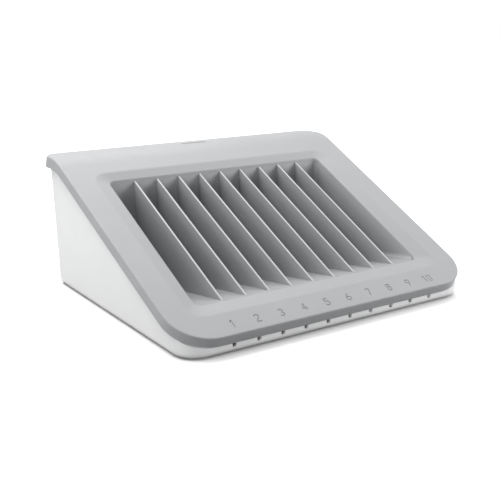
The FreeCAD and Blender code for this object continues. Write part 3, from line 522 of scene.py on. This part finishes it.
class Workbench:
    """Shared steps for dressing CAD nodes and for modelling new pieces by hand."""

    def __init__(self) -> None:
        """Start with no finish made."""
        self.made: dict[str, bpy.types.Material] = {}
        self.smooth_angle = math.radians(35)

    def finish(self, finish: Finish) -> bpy.types.Material:
        """Give a finish's material, made once.

        Args:
            finish: the finish.

        Returns:
            Its material.
        """
        if finish.name not in self.made:
            self.made[finish.name] = finish.material()
        return self.made[finish.name]

    def paint(self, piece: bpy.types.Object, finish: Finish) -> None:
        """Put one finish on a whole piece.

        Args:
            piece: the mesh object.
            finish: its finish.
        """
        piece.data.materials.clear()
        piece.data.materials.append(self.finish(finish))
        logger.info("%s: %s", piece.name, finish.name)

    def dress(self, node: str, finish: Finish) -> None:
        """Put one finish on a CAD node.

        Args:
            node: the node's name.
            finish: its finish.
        """
        self.paint(frame["nodes"][node], finish)

    def clear(self) -> None:
        """Leave edit mode and deselect everything."""
        if bpy.context.object is not None and bpy.context.object.mode != "OBJECT":
            bpy.ops.object.mode_set(mode="OBJECT")
        bpy.ops.object.select_all(action="DESELECT")

    def settle(self, name: str, body: Body, slot: str, finish: Finish) -> bpy.types.Object:
        """Finish the active new piece: apply its place, smooth it and let it ride.

        Args:
            name: name of the piece.
            body: the body it moves with.
            slot: the record's material slot; not used.
            finish: its finish.

        Returns:
            The finished piece.
        """
        piece = bpy.context.object
        piece.name = name
        piece.data.name = name
        bpy.ops.object.transform_apply(location=True, rotation=True, scale=True)
        bpy.ops.object.shade_smooth_by_angle(angle=self.smooth_angle)
        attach(piece, body.value)
        self.paint(piece, finish)
        self.clear()
        return piece

    def copy(self, piece: bpy.types.Object, move: Vector) -> bpy.types.Object:
        """Copy a shape to another place.

        Args:
            piece: the shape to copy.
            move: way from the shape to its copy.

        Returns:
            The copy.
        """
        self.clear()
        piece.select_set(True)
        bpy.context.view_layer.objects.active = piece
        bpy.ops.object.duplicate()
        bpy.ops.transform.translate(value=move)
        bpy.ops.object.transform_apply(location=True, rotation=True, scale=True)
        return bpy.context.object

    def join(self, pieces: list[bpy.types.Object]) -> None:
        """Make one object of several.

        Args:
            pieces: the objects, the first of which stays active.
        """
        self.clear()
        for piece in pieces:
            piece.select_set(True)
        bpy.context.view_layer.objects.active = pieces[0]
        bpy.ops.object.join()


@dataclass
class HingedCover:
    """Sloping cover with its well, dividers and screws."""

    bench: Workbench
    dividers: int = 9

    def dress(self) -> None:
        """Give each node of the cover its finish."""
        self.bench.dress("top_cover", COVER_GREY)
        self.bench.dress("slot_well", SHADED_WELL_GREY)
        for number in range(1, self.dividers + 1):
            self.bench.dress(f"divider_{number}", SHADED_DIVIDER_GREY)
        self.bench.dress("well_screws", ZINC_STEEL)


@dataclass
class BaseTub:
    """White tub with its feet and the pins of the hinge."""

    bench: Workbench

    def dress(self) -> None:
        """Give each node of the tub its finish."""
        self.bench.dress("base_shell", BASE_WHITE)
        self.bench.dress("feet", FOOT_RUBBER)
        self.bench.dress("hinge_pins", ZINC_STEEL)


@dataclass
class Charger:
    """Charger in the rear bay, with contacts in each of its ports."""

    bench: Workbench
    ports: int = 10
    port_width: float = 7.0 * MM
    tongue_wall: float = 2.0 * MM
    strip_places: tuple[float, ...] = (-3.5 * MM, -1.0 * MM, 1.0 * MM, 3.5 * MM)
    strip_width: float = 1.0 * MM
    strip_wall: float = 0.2 * MM
    strip_length: float = 7.0 * MM
    strip_top: float = 2.6 * MM
    bevel_steps: int = 2

    def build(self) -> bpy.types.Object:
        """Model the gold contact strips on one side of every port's tongue.

        Returns:
            The strips as one piece.
        """
        low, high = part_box("usb_ports")
        pitch = (high.x - low.x - self.port_width) / (self.ports - 1)
        first = low.x + self.port_width / 2 + self.tongue_wall / 2
        middle = Vector((first, (low.y + high.y) / 2, high.z - self.strip_top - self.strip_length / 2))
        rows = range(self.ports)
        spots = [Vector((row * pitch, place, 0.0)) for row in rows for place in self.strip_places]
        strips = [self.strip(middle + spots[0])]
        strips += [self.bench.copy(strips[0], spot - spots[0]) for spot in spots[1:]]
        self.bench.join(strips)
        return self.bench.settle("port_contacts", Body.BASE, "contact_brass", CONTACT_GOLD)

    def strip(self, centre: Vector) -> bpy.types.Object:
        """Model one contact strip with a rounded lead-in.

        Args:
            centre: middle of the strip.

        Returns:
            The strip.
        """
        self.bench.clear()
        bpy.ops.mesh.primitive_cube_add(size=1.0, location=centre)
        piece = bpy.context.object
        piece.scale = (2 * self.strip_wall, self.strip_width, self.strip_length)
        bpy.ops.object.transform_apply(location=True, rotation=True, scale=True)
        bpy.ops.object.mode_set(mode="EDIT")
        bpy.ops.mesh.select_all(action="SELECT")
        bpy.ops.mesh.bevel(offset=self.strip_wall / 2, segments=self.bevel_steps, affect="EDGES")
        bpy.ops.object.mode_set(mode="OBJECT")
        return piece

    def dress(self) -> None:
        """Give each node of the charger its finish."""
        finishes = {
            "charger_case": CHARGER_BLACK,
            "charger_lid": CHARGER_BLACK,
            "charger_board": BOARD_GREEN,
            "usb_ports": PORT_METAL,
            "transformer": CORE_IRON,
            "capacitors": CAN_ALUMINIUM,
            "charger_screws": ZINC_STEEL,
        }
        for node, finish in finishes.items():
            self.bench.dress(node, finish)


@dataclass
class MainsInlet:
    """Inlet in the rear wall with its rocker switch and the lead to the charger."""

    bench: Workbench
    tilt: float = math.radians(8.0)
    face_reach: float = 4.15 * MM
    face_rise: float = 4.2 * MM
    face_fall: float = 0.9 * MM
    face_half: float = 8.4 * MM
    mark_size: float = 1.7 * MM
    mark_line: float = 0.28 * MM
    mark_steps: tuple[int, int] = (36, 8)
    bevel_steps: int = 2
    round_steps: int = 40
    merge: float = 0.001 * MM
    sleeve_steps: tuple[Span, ...] = (
        (0.0, 6.2), (2.0, 6.2), (2.4, 5.6), (4.6, 5.4),
        (5.0, 4.6), (6.4, 4.6), (6.8, 5.1), (9.0, 4.9),
        (9.4, 4.2), (10.8, 4.2), (11.2, 4.6), (13.4, 4.4),
        (13.8, 3.9), (15.2, 3.9), (15.6, 4.1), (18.0, 3.7),
    )
    collar_steps: tuple[Span, ...] = ((0.0, 5.6), (2.4, 5.6), (3.0, 5.0), (4.6, 4.6), (5.2, 3.6))

    def build(self) -> list[bpy.types.Object]:
        """Model the switch marks and the sleeves at both ends of the lead.

        Returns:
            The new pieces.
        """
        low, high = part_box("inlet_lead")
        radius = (high.z - low.z) / 2
        level = (high.z + low.z) / 2
        charger_end = Vector((low.x, low.y + radius, level))
        inlet_back = Vector((high.x - radius, high.y, level))
        pieces = [self.build_marks()]
        self.turned(charger_end, Vector((1.0, 0.0, 0.0)), self.sleeve_steps)
        pieces.append(self.bench.settle("lead_sleeve", Body.BASE, "lead_rubber", LEAD_RUBBER))
        self.turned(inlet_back, Vector((0.0, -1.0, 0.0)), self.collar_steps)
        pieces.append(self.bench.settle("lead_collar", Body.BASE, "lead_rubber", LEAD_RUBBER))
        return pieces

    def turned(self, start: Vector, axis: Vector, steps: tuple[Span, ...]) -> None:
        """Model a turned shape from a disc that is extruded and resized step by step.

        Args:
            start: centre of the first disc.
            axis: unit direction in which the shape grows.
            steps: distance from the start and radius at each step, in millimetres.
        """
        self.bench.clear()
        turn = Vector((0.0, 0.0, 1.0)).rotation_difference(axis).to_euler()
        bpy.ops.mesh.primitive_circle_add(vertices=self.round_steps, radius=steps[0][1] * MM,
                                          fill_type="NGON", location=start, rotation=turn)
        bpy.ops.object.transform_apply(location=True, rotation=True, scale=True)
        bpy.ops.object.mode_set(mode="EDIT")
        bpy.ops.mesh.select_all(action="SELECT")
        for (before, old), (after, new) in zip(steps, steps[1:]):
            move = axis * (after - before) * MM
            bpy.ops.mesh.extrude_region_move(TRANSFORM_OT_translate={"value": move})
            centre = start + axis * after * MM
            bpy.ops.transform.resize(value=(new / old,) * 3, center_override=centre)
        bpy.ops.mesh.select_all(action="SELECT")
        bpy.ops.mesh.remove_doubles(threshold=self.merge)
        bpy.ops.mesh.normals_make_consistent(inside=False)
        bpy.ops.object.mode_set(mode="OBJECT")

    def build_marks(self) -> bpy.types.Object:
        """Model the bar and the ring that mark the two ends of the switch.

        Returns:
            Both marks as one piece.
        """
        own = [joint for joint in frame["joints"] if joint["child"] == Body.SWITCH.value]
        pivot = Vector(own[0]["pos_m"])
        rest = Matrix.Rotation(-self.tilt, 4, "X")
        slope = math.atan(self.face_fall / self.face_half)
        marks = []
        for side, mark in ((1.0, self.ring), (-1.0, self.bar)):
            centre = pivot + rest @ Vector((0.0, self.face_reach, side * self.face_rise))
            lean = rest @ Matrix.Rotation(-side * slope - math.pi / 2, 4, "X")
            self.bench.clear()
            marks.append(mark(centre, lean.to_euler()))
        self.bench.join(marks)
        return self.bench.settle("rocker_marks", Body.SWITCH, "rocker_black", MARK_WHITE)

    def ring(self, centre: Vector, lean: Euler) -> bpy.types.Object:
        """Model the ring at one end of the switch.

        Args:
            centre: middle of the ring.
            lean: turn of the switch's face there.

        Returns:
            The ring.
        """
        bpy.ops.mesh.primitive_torus_add(major_radius=self.mark_size, minor_radius=self.mark_line,
                                         major_segments=self.mark_steps[0],
                                         minor_segments=self.mark_steps[1],
                                         location=centre, rotation=lean)
        bpy.ops.object.transform_apply(location=True, rotation=True, scale=True)
        return bpy.context.object

    def bar(self, centre: Vector, lean: Euler) -> bpy.types.Object:
        """Model the bar at the other end of the switch.

        Args:
            centre: middle of the bar.
            lean: turn of the switch's face there.

        Returns:
            The bar.
        """
        bpy.ops.mesh.primitive_cube_add(size=1.0, location=centre, rotation=lean)
        piece = bpy.context.object
        piece.scale = (2 * self.mark_line, 2 * self.mark_size, 2 * self.mark_line)
        bpy.ops.object.transform_apply(location=True, rotation=True, scale=True)
        bpy.ops.object.mode_set(mode="EDIT")
        bpy.ops.mesh.select_all(action="SELECT")
        bpy.ops.mesh.bevel(offset=self.mark_line / 2, segments=self.bevel_steps, affect="EDGES")
        bpy.ops.object.mode_set(mode="OBJECT")
        return piece

    def dress(self) -> None:
        """Give each node of the inlet its finish."""
        finishes = {
            "inlet_housing": INLET_BLACK,
            "inlet_blades": CONTACT_BRASS,
            "inlet_screws": ZINC_STEEL,
            "inlet_lead": LEAD_RUBBER,
            "power_rocker": ROCKER_BLACK,
        }
        for node, finish in finishes.items():
            self.bench.dress(node, finish)


@dataclass(frozen=True)
class Lamp:
    """One soft box of the studio."""

    name: str
    place: Point
    size: Span
    power: float
    aim: Point = (0.0, 0.0, 0.08)

    def add(self) -> None:
        """Hang the soft box and turn it to its aim."""
        light = bpy.data.lights.new(self.name, "AREA")
        light.shape = "RECTANGLE"
        light.size, light.size_y = self.size
        light.energy = self.power
        lamp = bpy.data.objects.new(self.name, light)
        lamp.location = self.place
        lamp.rotation_euler = (Vector(self.aim) - Vector(self.place)).to_track_quat("-Z", "Y").to_euler()
        bpy.context.scene.collection.objects.link(lamp)


@dataclass
class Studio:
    """White floor, soft light and the camera at the photograph's view."""

    eye: Point = (-0.5284, -0.77079, 0.3037)
    view: Point = (0.5398, 0.7984, -0.2669)
    focal_pixels: float = 849.517
    image_width: int = 500
    sensor: float = 36.0
    floor_size: float = 14.0
    floor_colour: Colour = (0.15, 0.15, 0.15)
    floor_seen: Colour = (0.85, 0.85, 0.85)
    glow_places: Span = (0.24, 0.55)
    glow_levels: Span = (0.60, 1.0)
    painted_shadow_reach: float = 0.025
    painted_shadow_range: Span = (0.35, 0.85)
    ambient: float = 0.25
    backdrop: float = 1.0
    lamps: tuple[Lamp, ...] = field(default_factory=lambda: (
        Lamp("top_left_box", (-0.4, 0.25, 0.85), (0.7, 0.5), 5.7),
        Lamp("top_right_box", (0.4, 0.25, 0.85), (0.7, 0.5), 2.0),
        Lamp("rear_box", (0.0, 0.75, 0.9), (0.9, 0.5), 3.9),
        Lamp("low_left_box", (-1.65, -0.55, 0.45), (1.6, 0.8), 13.5),
        Lamp("low_right_box", (0.85, -0.68, 0.32), (0.8, 0.5), 8.2),
    ))

    def build(self) -> None:
        """Set up the floor, the world, the lamps and the camera."""
        self.add_floor()
        self.light_world()
        for lamp in self.lamps:
            lamp.add()
        self.add_camera()
        bpy.context.scene.view_settings.view_transform = "Standard"

    def seen(self, tree: bpy.types.NodeTree) -> bpy.types.NodeSocket:
        """Find the rays that show the background as such.

        Args:
            tree: node tree that gets the nodes.

        Returns:
            Socket that is one for camera, mirror and glass rays.
        """
        path = tree.nodes.new("ShaderNodeLightPath")
        total = path.outputs["Is Camera Ray"]
        for name in ("Is Glossy Ray", "Is Transmission Ray"):
            either = tree.nodes.new("ShaderNodeMath")
            either.operation = "MAXIMUM"
            tree.links.new(total, either.inputs[0])
            tree.links.new(path.outputs[name], either.inputs[1])
            total = either.outputs["Value"]
        return total

    def add_floor(self) -> None:
        """Lay the floor, which shows as white, keeps the lamps' shadow and gets a painted contact shadow
        where its glow fades next to the station.
        """
        bpy.ops.object.select_all(action="DESELECT")
        bpy.ops.mesh.primitive_plane_add(size=self.floor_size)
        floor = bpy.context.object
        floor.name = "floor"
        sheet = NodeSheet("studio_floor")
        seen = self.seen(sheet.tree)
        sheet.tint(sheet.blend(seen, self.floor_colour, self.floor_seen))
        sheet.shader.inputs["Roughness"].default_value = 1.0
        sheet.shader.inputs["Specular IOR Level"].default_value = 0.0
        sheet.shader.inputs["Emission Color"].default_value = (*WHITE, 1.0)
        length = sheet.add("ShaderNodeVectorMath")
        length.operation = "LENGTH"
        sheet.link(sheet.place, length.inputs[0])
        level = sheet.span(length.outputs["Value"], self.glow_places, self.glow_levels)
        # Painted contact shadow: the floor's glow fades where ambient occlusion finds the station close by.
        painted_shadow_occlusion = sheet.add("ShaderNodeAmbientOcclusion", Distance=self.painted_shadow_reach)
        painted_floor_shadow = sheet.span(painted_shadow_occlusion.outputs["AO"], self.painted_shadow_range, FULL)
        glow = sheet.product(seen, sheet.product(level, painted_floor_shadow))
        sheet.link(glow, sheet.shader.inputs["Emission Strength"])
        floor.data.materials.append(sheet.material)

    def light_world(self) -> None:
        """Surround the scene with white that only lights it softly."""
        world = bpy.data.worlds.new("studio")
        bpy.context.scene.world = world
        world.use_nodes = True
        tree = world.node_tree
        background = tree.nodes["Background"]
        strength = tree.nodes.new("ShaderNodeMapRange")
        strength.inputs["To Min"].default_value = self.ambient
        strength.inputs["To Max"].default_value = self.backdrop
        tree.links.new(self.seen(tree), strength.inputs["Value"])
        background.inputs["Color"].default_value = (*WHITE, 1.0)
        tree.links.new(strength.outputs["Result"], background.inputs["Strength"])

    def add_camera(self) -> None:
        """Stand the camera where the photograph was taken."""
        lens = bpy.data.cameras.new("photo_view")
        lens.sensor_width = self.sensor
        lens.lens = self.focal_pixels / self.image_width * self.sensor
        camera = bpy.data.objects.new("photo_view", lens)
        camera.location = self.eye
        camera.rotation_euler = Vector(self.view).to_track_quat("-Z", "Y").to_euler()
        bpy.context.scene.collection.objects.link(camera)
        bpy.context.scene.camera = camera


def main() -> None:
    """Dress the station and build its studio."""
    logging.basicConfig(level=logging.INFO)
    bench = Workbench()
    bench.clear()
    for assembly in (HingedCover(bench), BaseTub(bench)):
        assembly.dress()
    for assembly in (Charger(bench), MainsInlet(bench)):
        assembly.build()
        assembly.dress()
    Studio().build()


if __name__ == "__main__":
    main()
